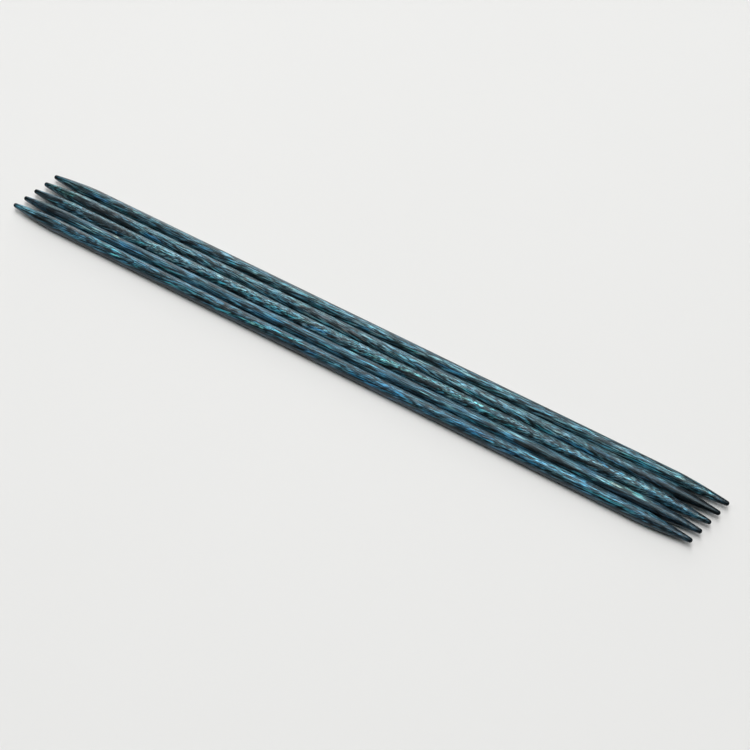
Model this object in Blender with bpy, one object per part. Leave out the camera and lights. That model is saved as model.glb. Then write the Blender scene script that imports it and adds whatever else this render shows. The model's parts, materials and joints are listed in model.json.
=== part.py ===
"""A set of five double-pointed knitting needles, lying side by side on a table.

Each needle is one turned rod, pointed at both ends. Metres, +Z up. The needles run along X, needle_1 lies at
the front (-Y) and needle_5 at the back (+Y). The origin is on the table, under the middle of the set.
"""

import math

import bmesh
import bpy

# Driving dimensions, in metres.
NEEDLE_LENGTH = 0.200
SHAFT_DIAMETER = 0.0035  # the needle's size, measured across two opposite flats
TAPER_LENGTH = 0.0140  # from the end of the needle to the full shaft
TAPER_SWELL = 1.5  # 1 is a straight cone; above 1 the taper swells and meets the shaft without an edge
TIP_RADIUS = 0.0006  # the rounded point

# How the loose needles lie, from needle_1 to needle_5, in metres.
GAPS = (0.00006, 0.00006, 0.00008, 0.00014)  # between each needle and the next
END_OFFSETS = (-0.0010, -0.0004, 0.0001, 0.0006, 0.0010)  # how far each needle lies towards +X

# Facets. A multiple of 4 sides puts a flat side straight down, straight up, in front and behind.
SIDES = 32
TIP_STEPS = 4
TAPER_STEPS = 9

# One colour for each needle: (red, green, blue), linear.
WOOD_COLOURS = (
    (0.050, 0.108, 0.142),  # blue teal
    (0.060, 0.108, 0.140),  # steel blue
    (0.050, 0.122, 0.132),  # turquoise
    (0.066, 0.100, 0.114),  # blue grey
    (0.045, 0.100, 0.104),  # green teal
)
WOOD_ROUGHNESS = 0.45

SHAFT_RADIUS = SHAFT_DIAMETER / 2


def clear_scene():
    for scene_object in list(bpy.data.objects):
        bpy.data.objects.remove(scene_object)


def end_outline():
    """(distance from the end, radius) of one pointed end, from its apex to the start of the full shaft.

    The point is part of a sphere, and it runs on smoothly into the taper.
    """
    slope = TAPER_SWELL * (SHAFT_RADIUS - TIP_RADIUS) / TAPER_LENGTH
    last_angle = math.pi / 2 - math.atan(slope)
    outline = []
    for step in range(TIP_STEPS + 1):
        angle = last_angle * step / TIP_STEPS
        outline.append((TIP_RADIUS * (1 - math.cos(angle)), TIP_RADIUS * math.sin(angle)))
    taper_start, start_radius = outline[-1]
    for step in range(1, TAPER_STEPS + 1):
        share = step / TAPER_STEPS
        distance = taper_start + (TAPER_LENGTH - taper_start) * share
        still_to_grow = (SHAFT_RADIUS - start_radius) * (1 - share) ** TAPER_SWELL
        outline.append((distance, SHAFT_RADIUS - still_to_grow))
    return outline


def needle_outline():
    """(x, radius) along the whole needle, from its -X point to its +X point."""
    left = [(distance - NEEDLE_LENGTH / 2, radius) for distance, radius in end_outline()]
    right = [(-x, radius) for x, radius in reversed(left)]
    return left + right


def needle_mesh(name):
    """The outline turned about the X axis. The corners lie outside the nominal radius, so that the flats touch it."""
    half_side = math.pi / SIDES
    corner_scale = 1 / math.cos(half_side)
    bm = bmesh.new()
    points = []
    for x, radius in needle_outline():
        corner = radius * corner_scale
        points.append(bm.verts.new((x, corner * math.sin(half_side), corner * math.cos(half_side))))
    lines = [bm.edges.new(pair) for pair in zip(points, points[1:])]
    bmesh.ops.spin(
        bm, geom=points + lines, cent=(0, 0, 0), axis=(1, 0, 0), angle=math.tau, steps=SIDES, use_merge=True
    )
    bmesh.ops.remove_doubles(bm, verts=bm.verts, dist=1e-7)
    bmesh.ops.recalc_face_normals(bm, faces=bm.faces)
    mesh = bpy.data.meshes.new(name)
    bm.to_mesh(mesh)
    bm.free()
    mesh.shade_smooth()
    return mesh


def wood_material(name, colour):
    material = bpy.data.materials.new(name)
    material.use_nodes = True
    surface = material.node_tree.nodes["Principled BSDF"]
    surface.inputs["Base Color"].default_value = (*colour, 1)
    surface.inputs["Roughness"].default_value = WOOD_ROUGHNESS
    surface.inputs["Metallic"].default_value = 0
    return material


def needle_places():
    """(x, y) of each needle's axis, with the whole set centred on Y."""
    places = []
    y = -(SHAFT_DIAMETER * (len(END_OFFSETS) - 1) + sum(GAPS)) / 2
    for offset, gap in zip(END_OFFSETS, (*GAPS, 0)):
        places.append((offset, y))
        y += SHAFT_DIAMETER + gap
    return places


def add_needle(number, place, colour):
    """One needle. Its object's origin is on its axis, halfway along."""
    name = f"needle_{number}"
    needle = bpy.data.objects.new(name, needle_mesh(name))
    needle.location = (*place, SHAFT_RADIUS)
    needle.data.materials.append(wood_material(f"dyed_birch_{number}", colour))
    bpy.context.scene.collection.objects.link(needle)


clear_scene()
for index, (needle_place, wood_colour) in enumerate(zip(needle_places(), WOOD_COLOURS)):
    add_needle(index + 1, needle_place, wood_colour)
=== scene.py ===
"""Looks for a set of five double-pointed knitting needles, turned from dyed birch laminate.

The CAD frame gives each needle's place, length and radius. Here a finer needle rides on each CAD body, with
the laminate's dyes laid on as colours, together with painted shade along the lines between the needles, and
the fibres as noise. Lengths are in mm, except on the stage.
"""

import json
import math
from typing import NamedTuple

import bpy
import numpy as np
from mathutils import Matrix, Vector

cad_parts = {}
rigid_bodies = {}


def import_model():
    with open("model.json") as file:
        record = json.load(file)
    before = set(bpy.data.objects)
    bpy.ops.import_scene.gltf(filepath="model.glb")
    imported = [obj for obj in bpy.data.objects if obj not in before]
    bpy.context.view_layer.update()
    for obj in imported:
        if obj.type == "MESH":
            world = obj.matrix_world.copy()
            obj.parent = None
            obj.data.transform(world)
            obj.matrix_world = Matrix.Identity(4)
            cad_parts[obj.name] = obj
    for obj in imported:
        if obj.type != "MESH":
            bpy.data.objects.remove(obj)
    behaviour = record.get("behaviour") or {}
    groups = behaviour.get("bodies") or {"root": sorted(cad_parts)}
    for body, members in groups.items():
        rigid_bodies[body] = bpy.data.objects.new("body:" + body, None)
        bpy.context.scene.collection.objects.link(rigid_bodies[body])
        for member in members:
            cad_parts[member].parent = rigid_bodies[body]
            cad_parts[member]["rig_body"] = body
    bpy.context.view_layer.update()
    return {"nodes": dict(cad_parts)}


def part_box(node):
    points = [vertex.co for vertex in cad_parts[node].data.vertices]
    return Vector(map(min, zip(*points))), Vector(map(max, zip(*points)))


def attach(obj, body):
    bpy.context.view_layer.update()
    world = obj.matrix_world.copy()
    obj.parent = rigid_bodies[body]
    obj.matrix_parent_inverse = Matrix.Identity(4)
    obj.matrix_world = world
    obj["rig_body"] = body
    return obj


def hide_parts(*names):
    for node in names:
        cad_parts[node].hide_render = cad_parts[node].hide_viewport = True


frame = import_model()

MM = 0.001

# Shape of a needle. Its length, radius and place come from the CAD node.
TAPER_LENGTH = 14.0
TAPER_SWELL = 1.5  # 1 is a straight cone; above 1 the taper swells and meets the shaft without an edge
TIP_RADIUS = 0.6
SEGMENTS = 72  # around the needle
SHAFT_RINGS_PER_MM = 3.5
END_RINGS_PER_MM = 6
TIP_RINGS = 10
SKIN_INSET = 0.004  # share of the radius: keeps the sanded surface inside the CAD solid's box
SANDING = 0.012  # how far the sanded surface swings in and out
SANDING_PEAK = 0.004  # and how far out it goes at most
SANDING_AT_TIP = 0.3  # share of the unevenness that is left at the tips
BAKE_ROWS = 4  # the texture sheet shows the needle in this many equal lengths, one above the other
BAKE_MARGIN = 0.03  # share of a row left empty above and below

# Dye colours, linear.
CREAM = (0.300, 0.380, 0.310)
PALE = (0.120, 0.200, 0.190)
MINT = (0.050, 0.165, 0.175)
MIST = (0.046, 0.104, 0.116)
SKY = (0.034, 0.110, 0.155)
BLUE = (0.012, 0.060, 0.105)
TURQUOISE = (0.020, 0.105, 0.135)
GREEN = (0.012, 0.048, 0.050)
TEAL = (0.041, 0.097, 0.119)
STEEL = (0.019, 0.063, 0.093)
PETROL = (0.011, 0.034, 0.046)
SLATE = (0.018, 0.046, 0.058)
DEEP_BLUE = (0.012, 0.042, 0.064)
# NAVY is also the colour of the painted shade between the needles.
NAVY = (0.007, 0.015, 0.022)
CHARCOAL = (0.007, 0.012, 0.014)
INK = (0.003, 0.005, 0.007)
BROWN = (0.022, 0.030, 0.033)


class Streak(NamedTuple):
    """A long streak, pointed at both ends: where a dyed ply runs out at the surface, or a band of painted
    shade.

    start and end are millimetres from the needle's left end. The turns are degrees round the needle,
    0 on top and positive towards the front. width is in millimetres.
    """

    start: float
    start_turn: float
    end: float
    end_turn: float
    width: float
    colour: tuple


class Wood(NamedTuple):
    """How one needle was cut from the laminate."""

    climb: float  # how steeply the fibres climb towards +X; 0.1 is 1 mm in 10 mm
    base: tuple
    shade: tuple  # the darker dye between the streaks
    streaks: tuple


# The figure on the side that the photo shows is placed streak by streak, from enlarged views of it.
WOODS = {
    "needle_1": Wood(
        climb=0.10,
        base=STEEL,
        shade=PETROL,
        streaks=(
            Streak(-3, 18, 10, 8, 1.6, SKY),
            Streak(3, 60, 16, 24, 1.0, CHARCOAL),
            Streak(6, 18, 17, 0, 0.35, SKY),
            Streak(13, 66, 25, 36, 0.6, SKY),
            Streak(15, -10, 26, -8, 1.2, BROWN),
            Streak(25, 36, 34, 18, 0.35, CHARCOAL),
            Streak(25, -5, 38, -5, 1.3, TURQUOISE),
            Streak(33, 42, 36, 40, 0.3, MINT),
            Streak(38, 30, 44, 8, 0.4, SKY),
            Streak(38, 58, 50, 22, 0.4, CHARCOAL),
            Streak(39, 52, 43, 34, 0.4, TURQUOISE),
            Streak(50, 50, 57, 40, 0.5, TURQUOISE),
            Streak(55, 30, 64, 22, 0.4, TURQUOISE),
            Streak(59, 54, 74, 30, 0.6, CHARCOAL),
            Streak(64, 24, 82, 0, 0.45, BROWN),
            Streak(66, 70, 82, 20, 0.9, TURQUOISE),
            Streak(74, 44, 81, 36, 0.35, MINT),
            Streak(82, 42, 98, 10, 0.5, CHARCOAL),
            Streak(82, 10, 92, 4, 0.8, TURQUOISE),
            Streak(86, 64, 97, 30, 0.8, BLUE),
            Streak(92, 14, 99, 16, 0.5, BROWN),
            Streak(100, 56, 110, 16, 0.8, SKY),
            Streak(106, 44, 122, 30, 1.8, BLUE),
            Streak(114, 42, 119, 42, 0.4, CHARCOAL),
            Streak(118, 62, 133, 22, 0.6, SKY),
            Streak(123, 66, 128, 58, 0.4, BROWN),
            Streak(124, 18, 132, 2, 0.4, BROWN),
            Streak(134, 40, 148, 24, 1.4, BLUE),
            Streak(143, 36, 153, 8, 0.4, BROWN),
            Streak(144, 56, 155, 22, 0.5, SKY),
            Streak(150, 50, 162, 42, 0.7, BLUE),
            Streak(155, -10, 172, -10, 1.6, SKY),
            Streak(165, 26, 173, 20, 0.5, SKY),
            Streak(172, 44, 186, 40, 0.9, TURQUOISE),
            Streak(188, 40, 200, 30, 2.4, NAVY),
            Streak(193, 10, 206, 10, 6.0, NAVY),
        ),
    ),
    "needle_2": Wood(
        climb=0.03,
        base=STEEL,
        shade=PETROL,
        streaks=(
            Streak(0, 30, 16, 30, 2.0, NAVY),
            Streak(4, -20, 12, -16, 0.9, GREEN),
            Streak(17, 30, 25, 40, 1.0, MIST),
            Streak(26, 40, 31, 10, 0.4, BROWN),
            Streak(28, 56, 37, 24, 0.7, SKY),
            Streak(22, 20, 28, 0, 0.6, MIST),
            Streak(29, -20, 31, -17, 0.7, CREAM),
            Streak(32, 20, 40, 20, 1.2, BLUE),
            Streak(44, 52, 52, 46, 0.5, TURQUOISE),
            Streak(55, 0, 63, 2, 0.3, BROWN),
            Streak(67, 50, 71, 48, 0.5, SKY),
            Streak(72, 50, 77, 46, 0.5, SKY),
            Streak(74, 48, 86, 14, 0.9, BLUE),
            Streak(94, 34, 98, 30, 0.4, TURQUOISE),
            Streak(102, -30, 105, -28, 0.5, MINT),
            Streak(117, 38, 122, 36, 0.5, SKY),
            Streak(123, 25, 134, 28, 0.3, MIST),
            Streak(137, 56, 145, 40, 0.4, TURQUOISE),
            Streak(143, -4, 154, -2, 0.8, MIST),
            Streak(150, 40, 169, 40, 1.6, CHARCOAL),
            Streak(166, 56, 181, 16, 0.55, TURQUOISE),
            Streak(168, 50, 173, 38, 0.4, MINT),
            Streak(172, 14, 187, -12, 1.8, MIST),
            Streak(175, 6, 184, -10, 1.5, MINT),
            Streak(176, 8, 182, -5, 1.0, PALE),
            Streak(172, 60, 200, 30, 2.2, NAVY),
            Streak(188, 10, 210, 10, 6.0, NAVY),
        ),
    ),
    "needle_3": Wood(
        climb=0.18,
        base=TEAL,
        shade=SLATE,
        streaks=(
            Streak(0, 20, 10, 20, 2.0, CHARCOAL),
            Streak(8, 50, 16, 8, 0.4, SKY),
            Streak(9, 46, 12, 44, 0.6, BLUE),
            Streak(13, 54, 16, 24, 0.35, CHARCOAL),
            Streak(15, 40, 17, 38, 0.5, SKY),
            Streak(17, 20, 33, 20, 1.8, CHARCOAL),
            Streak(28, 50, 30, 48, 0.4, BLUE),
            Streak(28, 34, 34, 8, 0.4, BROWN),
            Streak(34, 46, 41, 8, 0.5, TURQUOISE),
            Streak(36, 10, 84, 10, 2.0, TEAL),
            Streak(54, 46, 63, 40, 0.8, TURQUOISE),
            Streak(62, 52, 67, 50, 0.5, CHARCOAL),
            Streak(65, 40, 74, 30, 0.8, TURQUOISE),
            Streak(72, 56, 76, 30, 0.35, CHARCOAL),
            Streak(75, 40, 84, 34, 1.0, TURQUOISE),
            Streak(83, 60, 91, 4, 0.6, CHARCOAL),
            Streak(84, 36, 90, 22, 0.35, GREEN),
            Streak(88, 44, 95, 24, 0.6, BLUE),
            Streak(94, 52, 101, 0, 0.7, BROWN),
            Streak(101, 56, 117, -8, 0.5, MINT),
            Streak(107, 54, 114, 40, 0.5, TURQUOISE),
            Streak(112, 60, 122, -4, 0.7, CHARCOAL),
            Streak(114, 30, 129, -24, 0.5, MINT),
            Streak(116, 40, 129, 30, 1.4, CHARCOAL),
            Streak(126, 54, 133, 18, 0.6, TURQUOISE),
            Streak(126, 40, 142, -18, 0.5, MINT),
            Streak(130, 58, 142, 2, 0.35, CHARCOAL),
            Streak(134, 50, 143, 34, 0.8, TURQUOISE),
            Streak(142, 56, 150, 12, 0.45, CHARCOAL),
            Streak(145, 54, 150, 34, 0.5, TURQUOISE),
            Streak(149, 18, 154, -4, 0.3, BROWN),
            Streak(156, 22, 162, -4, 0.3, BROWN),
            Streak(158, 50, 166, 22, 0.6, SKY),
            Streak(163, 54, 175, 20, 1.1, CHARCOAL),
            Streak(180, 30, 186, 18, 0.4, SKY),
            Streak(187, 31, 188, 28, 0.3, CREAM),
            Streak(184, 45, 200, 40, 2.0, DEEP_BLUE),
            Streak(188, -20, 204, -10, 1.6, NAVY),
        ),
    ),
    "needle_4": Wood(
        climb=-0.09,
        base=TEAL,
        shade=SLATE,
        streaks=(
            Streak(0, 10, 12, 20, 2.2, GREEN),
            Streak(10, 30, 33, 42, 2.4, CHARCOAL),
            Streak(14, 5, 30, 10, 1.0, BROWN),
            Streak(25, 0, 34, 38, 0.35, SKY),
            Streak(34, 45, 40, 50, 1.0, BLUE),
            Streak(36, 12, 40, 54, 0.3, CHARCOAL),
            Streak(41, -5, 50, 15, 0.8, MIST),
            Streak(50, -8, 59, 28, 0.35, BROWN),
            Streak(55, 20, 58, 26, 0.3, MIST),
            Streak(61, 6, 73, 46, 0.35, BROWN),
            Streak(64, 45, 70, 50, 0.7, STEEL),
            Streak(71, 28, 84, 50, 0.8, STEEL),
            Streak(82, 15, 103, 35, 1.4, BROWN),
            Streak(103, -6, 115, 32, 0.4, SKY),
            Streak(110, -8, 122, 44, 0.5, SKY),
            Streak(112, 48, 118, 56, 0.4, SKY),
            Streak(121, 0, 128, 18, 0.3, BROWN),
            Streak(131, 42, 138, 44, 0.7, TURQUOISE),
            Streak(132, 0, 142, 10, 0.3, BROWN),
            Streak(142, 30, 150, 46, 0.3, SKY),
            Streak(143, 56, 148, 60, 0.4, CHARCOAL),
            Streak(148, 50, 156, 52, 0.8, TURQUOISE),
            Streak(157, 54, 167, 50, 0.7, BLUE),
            Streak(164, -2, 171, 50, 0.5, CHARCOAL),
            Streak(166, 4, 178, 56, 0.8, BLUE),
            Streak(176, 30, 200, 40, 2.2, NAVY),
            Streak(188, 10, 208, 10, 6.0, INK),
        ),
    ),
    "needle_5": Wood(
        climb=0.06,
        base=TEAL,
        shade=SLATE,
        streaks=(
            Streak(-10, -30, 210, -30, 0.9, PETROL),
            Streak(-6, 20, 56, 20, 4.0, SLATE),
            Streak(8, -12, 16, -14, 0.5, MIST),
            Streak(12, 36, 19, 34, 0.8, BLUE),
            Streak(20, 28, 28, -6, 0.5, BROWN),
            Streak(20, 54, 26, 50, 0.5, TURQUOISE),
            Streak(24, 18, 35, -15, 0.5, MIST),
            Streak(33, 36, 40, 36, 0.5, BLUE),
            Streak(46, 30, 53, 20, 0.8, STEEL),
            Streak(51, 42, 58, 2, 0.45, CHARCOAL),
            Streak(56, 36, 60, 30, 0.7, TURQUOISE),
            Streak(60, 56, 72, 56, 0.6, CHARCOAL),
            Streak(71, 26, 74, 20, 0.5, BROWN),
            Streak(74, 26, 78, 24, 0.35, MIST),
            Streak(76, 44, 84, 40, 0.6, STEEL),
            Streak(84, 52, 91, 50, 0.6, TURQUOISE),
            Streak(97, 46, 101, 46, 0.7, BLUE),
            Streak(107, 42, 115, 38, 0.7, GREEN),
            Streak(121, 44, 128, 42, 0.8, BLUE),
            Streak(130, 48, 141, 46, 0.7, GREEN),
            Streak(172, 46, 184, 44, 1.0, TURQUOISE),
            Streak(181, 30, 191, 8, 0.4, MIST),
            Streak(183, 50, 190, 20, 0.4, CHARCOAL),
            Streak(184, 60, 199, 45, 1.0, PETROL),
            Streak(196, 10, 206, 10, 6.0, NAVY),
        ),
    ),
}

# Painted shade: a dark band low in every needle, in front and behind, laid into the colour to darken the
# lines between the needles where they shade each other.
PAINTED_GAP_SHADE = (Streak(-10, 97, 210, 97, 1.8, NAVY), Streak(-10, -97, 210, -97, 1.8, NAVY))

# Streaks set by chance on each needle's back and underside.
HIDDEN_STREAKS = 26
HIDDEN_COLOURS = (SKY, BLUE, TURQUOISE, MIST, CHARCOAL, CHARCOAL, BROWN, NAVY)
HIDDEN_TURNS = (95, 285)  # degrees
HIDDEN_RUNS = (6, 22)
HIDDEN_WIDTHS = (0.35, 1.4)
HIDDEN_OVERHANG = 5  # a streak starts between this far before the needle and this far before its end

# How uneven the dye is. Each pair is the shortest and the longest wave along the needle.
WANDER = 0.4  # the streaks wander this far along the needle
WANDER_WAVES = (4, 15)
SWAY = 2.5  # and this many degrees round it
SWAY_WAVES = (5, 20)
SHADE_SHARE = 0.45  # mean share of the darker dye
SHADE_SWING = 0.7
SHADE_WAVES = (10, 45)
BLEED = 0.25  # share of a streak's reach over which its edge runs out, to each side
STREAK_TIP = 0.25  # share of its width that a streak still has at its ends
RIPPLE_TURNS = (1, 2, 3, 5, 8)  # waves round the needle
GRAIN_STEP = 400  # each needle is cut this much further along in the wood than the one before it


class Layer(NamedTuple):
    """One size of fibre: smooth noise, and the part of its range where it goes from none to full."""

    along: float  # noise cells per mm along the fibres
    across: float  # and across them
    detail: float
    roughness: float
    distortion: float
    low: float
    high: float


STRAND = Layer(0.08, 1.7, 2, 0.55, 0, 0.34, 0.66)  # long strands that took more or less of the dye
HUE = Layer(0.13, 1.3, 2, 0.5, 0, 0.38, 0.62)  # strands that turned bluer or greener
THREAD = Layer(0.22, 4.4, 1, 0.5, 0, 0.36, 0.64)  # thin warm and cool threads
DASH = Layer(0.26, 3.0, 1, 0.5, 0, 0.38, 0.62)  # light and dark dashes
FLECK = Layer(0.17, 3.9, 2, 0.6, 0, 0.41, 0.59)  # light and dark flecks, with the sharpest edges
BRIGHT = Layer(0.22, 4.4, 2, 0.6, 0.2, 0.58, 0.74)  # fibres that stayed bright
FIBRE = Layer(0.22, 6.5, 2, 0.6, 0.2, 0.58, 0.70)  # brown fibres
PORE = Layer(0.9, 11.0, 2, 0.5, 0, 0.58, 0.70)  # dark pores

# The dye is multiplied by a tint that goes from the first colour to the second across each layer.
TINTS = (
    (STRAND, (0.68, 0.68, 0.68), (1.32, 1.32, 1.32)),
    (HUE, (1.0, 0.97, 1.06), (1.0, 1.03, 0.97)),
    (THREAD, (1.35, 0.96, 0.86), (0.70, 1.04, 1.12)),
    (DASH, (0.30, 0.30, 0.30), (1.75, 1.75, 1.75)),
    (FLECK, (0.04, 0.04, 0.04), (2.00, 2.00, 2.00)),
)
# Then each of these is laid over it, with this share at most.
FIBRES = ((BRIGHT, 0.5, SKY), (FIBRE, 0.5, BROWN), (PORE, 0.6, CHARCOAL))

# The points soaked up more dye, and took less polish. Distances are from the end of the needle.
POINT_DARK, POINT_PLAIN = 0.4, 2.0
POINT_DYE = 0.9  # share of the ink colour at the very point
POLISH_START, POLISH_FULL = 0.4, 2.5
POINT_POLISH = 0.3  # share of the polish at the very point

ROUGHNESS = 0.32
POLISH = 0.72  # strength of the highlight
WAX = (0.75, 0.97, 1.06)  # the highlight's own colour
SHEEN = 0.55  # share of the highlight that takes the fibres' own colour
SHEEN_GAIN = 14.0  # brings that dark colour up to the strength of a highlight
RELIEF = 0.04  # height of the flecks above the pores
RELIEF_STRENGTH = 0.6


# --- shape ---


def needle_frame(node):
    """(centre, length, radius) of a CAD needle in millimetres."""
    low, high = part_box(node)
    centre = (low + high) / 2 / MM
    return np.array(centre), (high.x - low.x) / MM, (high.z - low.z) / 2 / MM


def end_outline(shaft_radius):
    """(distance from the end, radius) of one pointed end, from just past its apex to the full shaft."""
    slope = TAPER_SWELL * (shaft_radius - TIP_RADIUS) / TAPER_LENGTH
    angles = np.linspace(0, math.pi / 2 - math.atan(slope), TIP_RINGS + 1)[1:]
    cap_x, cap_r = TIP_RADIUS * (1 - np.cos(angles)), TIP_RADIUS * np.sin(angles)
    share = np.linspace(0, 1, round(TAPER_LENGTH * END_RINGS_PER_MM) + 1)[1:]
    taper_x = cap_x[-1] + (TAPER_LENGTH - cap_x[-1]) * share
    taper_r = shaft_radius - (shaft_radius - cap_r[-1]) * (1 - share) ** TAPER_SWELL
    return np.concatenate([cap_x, taper_x]), np.concatenate([cap_r, taper_r])


def needle_outline(length, shaft_radius):
    """(distance from the -X end, radius) of every ring, with a ring where the texture sheet's rows join."""
    end_x, end_r = end_outline(shaft_radius)
    joins = [length * row / BAKE_ROWS for row in range(1, BAKE_ROWS)]
    stops = [end_x[-1], *joins, length - end_x[-1]]
    lengths = []
    for start, stop in zip(stops, stops[1:]):
        count = round((stop - start) * SHAFT_RINGS_PER_MM)
        lengths.append(np.linspace(start, stop, count, endpoint=False))
    shaft_x = np.concatenate(lengths)[1:]
    x = np.concatenate([end_x, shaft_x, length - end_x[::-1]])
    r = np.concatenate([end_r, np.full(len(shaft_x), shaft_radius), end_r[::-1]])
    return x, r


def ripple(x, angle, seed, shortest=12, longest=60):
    """Smooth unevenness, about -1 to 1, that runs along the needle in waves of these lengths."""
    rng = np.random.default_rng(seed)
    total = np.zeros(np.broadcast(x, angle).shape)
    for turns in RIPPLE_TURNS:
        for _ in range(3):
            wave = rng.uniform(shortest, longest)
            phase_x, phase_a = rng.uniform(0, math.tau, 2)
            total += np.sin(x * math.tau / wave + phase_x) * np.cos(turns * angle + phase_a) / turns ** 0.5
    return total / 4


def needle_mesh(node, wood, seed):
    centre, length, radius = needle_frame(node)
    x, r = needle_outline(length, radius)
    angle = np.arange(SEGMENTS) * math.tau / SEGMENTS
    ring_x, ring_a = np.meshgrid(x, angle, indexing="ij")
    uneven = np.minimum(SANDING * ripple(ring_x, ring_a, seed), SANDING_PEAK)
    ring_r = r[:, None] * (1 - SKIN_INSET) + uneven * np.clip(r[:, None] / radius, SANDING_AT_TIP, 1)
    rings = np.stack([ring_x - length / 2, ring_r * np.cos(ring_a), ring_r * np.sin(ring_a)], -1)
    local = np.concatenate([rings.reshape(-1, 3), [[-length / 2, 0, 0], [length / 2, 0, 0]]])
    faces, uvs = needle_faces(x / length)
    mesh = bpy.data.meshes.new(node)
    mesh.from_pydata((local + centre) * MM, [], faces)
    mesh.shade_smooth()
    mesh.uv_layers.new(name="OFBake").uv.foreach_set("vector", np.array(uvs, np.float32).ravel())
    add_values(mesh, "grain", "FLOAT_VECTOR", "vector", grain_of(local, wood, seed))
    # the "dye" attribute holds the dye colours together with the painted shade between the needles
    add_values(mesh, "dye", "FLOAT_COLOR", "color", dye_and_painted_shade_of(local, length, radius, wood, seed))
    add_values(mesh, "from_end", "FLOAT", "value", length / 2 - np.abs(local[:, 0]))
    return mesh


def needle_faces(share):
    """Faces of the rings and of the two points, with each corner's place on the texture sheet."""
    rings = len(share)
    pole = rings * SEGMENTS
    faces, uvs = [], []

    def place(at, row, segment):
        along = min(max(at * BAKE_ROWS - row, 0), 1)
        across = BAKE_MARGIN + (1 - 2 * BAKE_MARGIN) * segment / SEGMENTS
        return (along, (row + across) / BAKE_ROWS)

    for ring in range(rings - 1):
        here, there = share[ring], share[ring + 1]
        row = min(int((here + there) / 2 * BAKE_ROWS), BAKE_ROWS - 1)
        near, far = ring * SEGMENTS, (ring + 1) * SEGMENTS
        for side in range(SEGMENTS):
            following = (side + 1) % SEGMENTS
            faces.append((near + side, near + following, far + following, far + side))
            uvs += [place(here, row, side), place(here, row, side + 1)]
            uvs += [place(there, row, side + 1), place(there, row, side)]
    last_ring, last_row = (rings - 1) * SEGMENTS, BAKE_ROWS - 1
    for side in range(SEGMENTS):
        following = (side + 1) % SEGMENTS
        faces.append((pole, following, side))
        uvs += [place(0, 0, side + 0.5), place(share[0], 0, side + 1), place(share[0], 0, side)]
        faces.append((pole + 1, last_ring + side, last_ring + following))
        uvs += [place(1, last_row, side + 0.5), place(share[-1], last_row, side)]
        uvs += [place(share[-1], last_row, side + 1)]
    return faces, uvs


def add_values(mesh, name, kind, field, values):
    attribute = mesh.attributes.new(name, kind, "POINT")
    attribute.data.foreach_set(field, np.asarray(values, np.float32).ravel())


def grain_of(local, wood, seed):
    """Each vertex in the wood's own coordinates in mm: along the fibres, and two ways across them."""
    along = local[:, 0] + GRAIN_STEP * seed
    return np.stack([along, local[:, 1], local[:, 2] - wood.climb * local[:, 0]], -1)


def hidden_streaks(length, radius, wood, seed):
    """Streaks for the sides that the photo doesn't show, which climb as the needle's own fibres do."""
    rng = np.random.default_rng(100 + seed)
    streaks = []
    for _ in range(HIDDEN_STREAKS):
        start = rng.uniform(-HIDDEN_OVERHANG, length - HIDDEN_OVERHANG)
        turn = rng.uniform(*HIDDEN_TURNS)
        run = rng.uniform(*HIDDEN_RUNS)
        climb = math.degrees(wood.climb * run / radius) * math.sin(math.radians(turn))
        colour = HIDDEN_COLOURS[rng.integers(len(HIDDEN_COLOURS))]
        width = rng.uniform(*HIDDEN_WIDTHS)
        streaks.append(Streak(start, turn, start + run, turn - climb, width, colour))
    return streaks


def dye_and_painted_shade_of(local, length, radius, wood, seed):
    """The colour at each vertex: the base dye, uneven along the grain, with the painted gap shade and the
    streaks laid over it.
    """
    x = local[:, 0] + length / 2
    angle = np.arctan2(-local[:, 1], local[:, 2])
    x = x + WANDER * ripple(x, angle, 10 + seed, *WANDER_WAVES)
    turn = np.degrees(angle) + SWAY * ripple(x, angle, 20 + seed, *SWAY_WAVES)
    shade = SHADE_SHARE + SHADE_SWING * ripple(x, angle, 30 + seed, *SHADE_WAVES)
    shade = np.clip(shade, 0, 1)[:, None]
    colour = np.array(wood.base) * (1 - shade) + np.array(wood.shade) * shade
    # painted shade along the lines between the needles goes on first, then the dye streaks
    for streak in (*PAINTED_GAP_SHADE, *wood.streaks, *hidden_streaks(length, radius, wood, seed)):
        share = streak_share(x, turn, radius, streak)[:, None]
        colour = colour * (1 - share) + np.array(streak.colour) * share
    return np.concatenate([colour, np.ones((len(colour), 1))], 1)


def streak_share(x, turn, radius, streak):
    """How much of the streak's colour shows at each place, 0 to 1."""
    along = (x - streak.start) / (streak.end - streak.start)
    centre = streak.start_turn + (streak.end_turn - streak.start_turn) * along
    off = np.abs((turn - centre + 180) % 360 - 180)
    inside = np.clip(4 * along * (1 - along), 0, 1) ** 0.5  # 0 at the streak's ends and outside it, 1 midway
    reach = streak.width / 2 * (STREAK_TIP + (1 - STREAK_TIP) * inside)
    distance = np.radians(off) * radius
    edge = np.clip((1 + BLEED - distance / reach) / (2 * BLEED), 0, 1)
    return edge * edge * (3 - 2 * edge) * np.clip(3 * inside, 0, 1)


# --- materials ---


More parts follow.
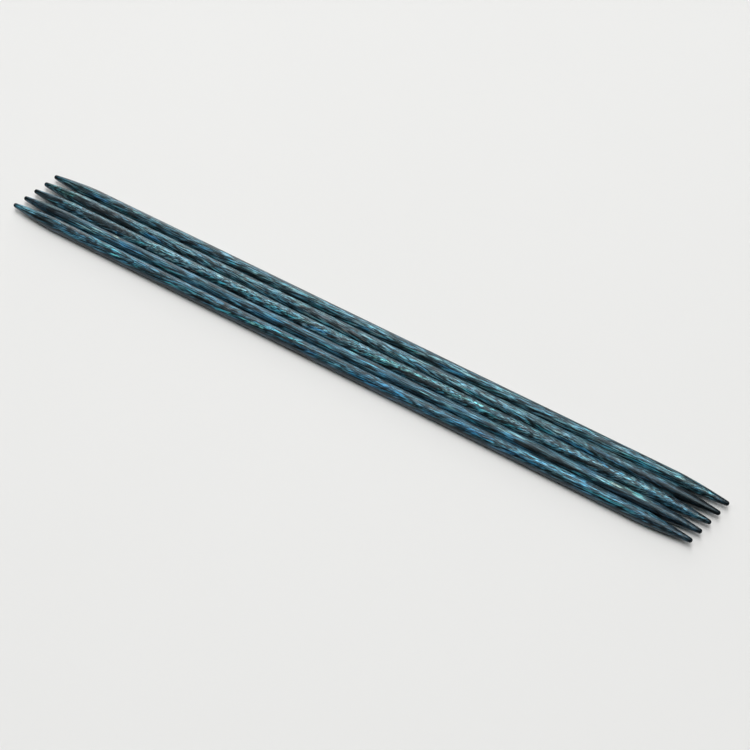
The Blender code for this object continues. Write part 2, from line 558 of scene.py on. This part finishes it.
class Graph:
    """A short way to write a material's nodes."""

    def __init__(self, name):
        self.material = bpy.data.materials.new(name)
        self.material.use_nodes = True
        self.tree = self.material.node_tree
        self.surface = self.tree.nodes["Principled BSDF"]
        self.layers = {}

    def add(self, kind, inputs=(), **settings):
        made = self.tree.nodes.new("ShaderNode" + kind)
        for key, value in settings.items():
            setattr(made, key, value)
        for key, value in dict(inputs).items():
            self.put(made.inputs[key], value)
        return made

    def put(self, socket, value):
        if isinstance(value, bpy.types.NodeSocket):
            self.tree.links.new(value, socket)
        elif isinstance(value, tuple) and len(value) == 3 and socket.type == "RGBA":
            socket.default_value = (*value, 1)
        else:
            socket.default_value = value

    def math(self, operation, first, second=0.0):
        return self.add("Math", {0: first, 1: second}, operation=operation).outputs[0]

    def scaled(self, vector, scale):
        return self.add("VectorMath", {0: vector, 1: scale}, operation="MULTIPLY").outputs[0]

    def noise(self, vector, scale, detail=2.0, roughness=0.5, distortion=0.0):
        """Smooth noise, mostly 0.3 to 0.7, with one scale for each axis."""
        inputs = {
            "Vector": self.scaled(vector, scale),
            "Scale": 1.0,
            "Detail": detail,
            "Roughness": roughness,
            "Distortion": distortion,
        }
        return self.add("TexNoise", inputs).outputs["Fac"]

    def span(self, value, low, high, new_low=0.0, new_high=1.0):
        """Maps low..high to new_low..new_high, held at both ends."""
        inputs = {"Value": value, "From Min": low, "From Max": high, "To Min": new_low, "To Max": new_high}
        return self.add("MapRange", inputs, interpolation_type="SMOOTHSTEP").outputs["Result"]

    def mix(self, factor, first, second, blend="MIX"):
        made = self.add("Mix", data_type="RGBA", blend_type=blend)
        self.put(made.inputs[0], factor)
        self.put(made.inputs[6], first)
        self.put(made.inputs[7], second)
        return made.outputs[2]

    def layer(self, grain, layer):
        """The layer's raw noise. A layer that is asked for twice is made once."""
        if layer not in self.layers:
            scale = (layer.along, layer.across, layer.across)
            self.layers[layer] = self.noise(grain, scale, layer.detail, layer.roughness, layer.distortion)
        return self.layers[layer]

    def amount(self, grain, layer):
        """How much of the layer there is, 0 to 1."""
        return self.span(self.layer(grain, layer), layer.low, layer.high)


def wood_colour(graph, grain, from_end):
    """The mesh's dye, with the painted shade between the needles, tinted by the layers of fibres, and inked
    at the points.
    """
    colour = graph.add("Attribute", attribute_name="dye").outputs["Color"]
    for layer, first, second in TINTS:
        tint = graph.mix(graph.amount(grain, layer), first, second)
        colour = graph.mix(1.0, colour, tint, "MULTIPLY")
    for layer, most, fibre_colour in FIBRES:
        share = graph.math("MULTIPLY", graph.amount(grain, layer), most)
        colour = graph.mix(share, colour, fibre_colour)
    point = graph.span(from_end, POINT_DARK, POINT_PLAIN, POINT_DYE, 0.0)
    return graph.mix(point, colour, INK)


def wood_relief(graph, grain):
    """A bump that raises the light flecks and sinks the pores."""
    flecks = graph.math("MULTIPLY", graph.layer(grain, FLECK), 0.5)
    pores = graph.math("MULTIPLY", graph.amount(grain, PORE), 0.5)
    height = graph.math("SUBTRACT", flecks, pores)
    bump = graph.add("Bump", {"Height": height, "Strength": RELIEF_STRENGTH, "Distance": RELIEF * MM})
    return bump.outputs["Normal"]


def wood_material(name):
    graph = Graph(name)
    grain = graph.add("Attribute", attribute_name="grain").outputs["Vector"]
    from_end = graph.add("Attribute", attribute_name="from_end").outputs["Fac"]
    colour = wood_colour(graph, grain, from_end)
    own_colour = graph.scaled(colour, (SHEEN_GAIN, SHEEN_GAIN, SHEEN_GAIN))
    polish = graph.span(from_end, POLISH_START, POLISH_FULL, POINT_POLISH * POLISH, POLISH)
    graph.put(graph.surface.inputs["Base Color"], colour)
    graph.put(graph.surface.inputs["Roughness"], ROUGHNESS)
    graph.put(graph.surface.inputs["Specular Tint"], graph.mix(SHEEN, WAX, own_colour))
    graph.put(graph.surface.inputs["Specular IOR Level"], polish)
    graph.put(graph.surface.inputs["Normal"], wood_relief(graph, grain))
    return graph.material


def floor_material():
    """A matt table that fades into the backdrop far away, for the camera only."""
    graph = Graph("table")
    place = graph.add("TexCoord").outputs["Object"]
    cloud = graph.noise(place, (TABLE_CLOUDS, TABLE_CLOUDS, TABLE_CLOUDS), 4, 0.55)
    graph.put(graph.surface.inputs["Base Color"], graph.mix(cloud, TABLE_DARK, TABLE_LIGHT))
    graph.put(graph.surface.inputs["Roughness"], TABLE_ROUGHNESS)
    graph.put(graph.surface.inputs["Specular IOR Level"], 0.0)
    distance = graph.add("VectorMath", {0: place}, operation="LENGTH").outputs["Value"]
    fade = graph.span(distance, FADE_START, FADE_END)
    seen = graph.math("MULTIPLY", fade, graph.add("LightPath").outputs["Is Camera Ray"])
    backdrop = graph.add("Emission", {"Color": BACKDROP}).outputs[0]
    blend = graph.add("MixShader", {0: seen, 1: graph.surface.outputs[0], 2: backdrop})
    graph.put(graph.tree.nodes["Material Output"].inputs["Surface"], blend.outputs[0])
    return graph.material


# --- pieces ---


def body_of_node(node):
    return frame["nodes"][node]["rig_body"]


def add_needle(node, wood, seed):
    piece = bpy.data.objects.new(node + "_wood", needle_mesh(node, wood, seed))
    piece.data.materials.append(wood_material(node + "_laminate"))
    bpy.context.scene.collection.objects.link(piece)
    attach(piece, body_of_node(node))
    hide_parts(node)


for number, (node_name, node_wood) in enumerate(WOODS.items()):
    add_needle(node_name, node_wood, number)


# --- stage ---

# Metres here, except the lens and the sensor.
CAMERA_PLACE = Vector((0.2069, -0.3075, 0.39775))
CAMERA_AIM = Vector((0.0106, -0.0048, 0.00175))
CAMERA_ROLL = math.radians(0.713)
CAMERA_LENS = 105.6
CAMERA_SENSOR = 36.0
CAMERA_RANGE = (0.01, 20)

FLOOR_HALF = 3.0
TABLE_DARK = (0.725, 0.725, 0.714)
TABLE_LIGHT = (0.745, 0.745, 0.734)
TABLE_CLOUDS = 9.0  # faint clouds in the paint, per metre
TABLE_ROUGHNESS = 0.85
BACKDROP = (0.84, 0.84, 0.83)  # what the camera sees behind the table
FADE_START, FADE_END = 0.35, 1.0  # from the middle, where the table fades into the backdrop
LAMP_DISTANCE = 1.5
LAMP_SIDE = 0.75


class Softbox(NamedTuple):
    """A square lamp aimed at the needles.

    bearing is degrees round from straight behind them, towards the camera's left. height is degrees above
    the table. power is in watts.
    """

    name: str
    bearing: float
    height: float
    power: float


SOFTBOXES = (
    Softbox("back_low", 0, 18, 5.9),
    Softbox("back_middle", 0, 50, 4.5),
    Softbox("back_high", 0, 70, 5.2),
    Softbox("top", 0, 90, 7.5),
    Softbox("left", 90, 50, 2.1),
    Softbox("front_high", 180, 70, 6.9),
    Softbox("right", 270, 70, 1.8),
)


def add_floor():
    half = FLOOR_HALF
    corners = [(-half, -half, 0), (half, -half, 0), (half, half, 0), (-half, half, 0)]
    mesh = bpy.data.meshes.new("floor")
    mesh.from_pydata(corners, [], [(0, 1, 2, 3)])
    floor = bpy.data.objects.new("floor", mesh)
    floor.data.materials.append(floor_material())
    bpy.context.scene.collection.objects.link(floor)


def aimed(place, aim, roll=0.0):
    """A matrix that puts a camera or a lamp at place, looking at aim."""
    turn = (Vector(aim) - Vector(place)).to_track_quat("-Z", "Y").to_matrix().to_4x4()
    return Matrix.Translation(place) @ turn @ Matrix.Rotation(roll, 4, "Z")


def add_softbox(softbox):
    behind = math.atan2(-CAMERA_PLACE.y, -CAMERA_PLACE.x)
    bearing, height = behind + math.radians(softbox.bearing), math.radians(softbox.height)
    level = math.cos(height)
    place = LAMP_DISTANCE * Vector((level * math.cos(bearing), level * math.sin(bearing), math.sin(height)))
    lamp = bpy.data.lights.new(softbox.name, "AREA")
    lamp.shape = "SQUARE"
    lamp.size = LAMP_SIDE
    lamp.energy = softbox.power
    made = bpy.data.objects.new(softbox.name, lamp)
    made.matrix_world = aimed(place, (0, 0, 0))
    bpy.context.scene.collection.objects.link(made)


def add_backdrop():
    """A world that only the camera sees, so that all light comes from the softboxes."""
    world = bpy.data.worlds.new("studio")
    world.use_nodes = True
    backdrop = world.node_tree.nodes["Background"]
    backdrop.inputs["Color"].default_value = (*BACKDROP, 1)
    seen = world.node_tree.nodes.new("ShaderNodeLightPath")
    world.node_tree.links.new(seen.outputs["Is Camera Ray"], backdrop.inputs["Strength"])
    bpy.context.scene.world = world


def add_camera():
    lens = bpy.data.cameras.new("camera")
    lens.lens = CAMERA_LENS
    lens.sensor_width = CAMERA_SENSOR
    lens.clip_start, lens.clip_end = CAMERA_RANGE
    camera = bpy.data.objects.new("camera", lens)
    camera.matrix_world = aimed(CAMERA_PLACE, CAMERA_AIM, CAMERA_ROLL)
    bpy.context.scene.collection.objects.link(camera)
    bpy.context.scene.camera = camera


add_floor()
add_backdrop()
for box in SOFTBOXES:
    add_softbox(box)
add_camera()
bpy.context.scene.view_settings.view_transform = "Standard"
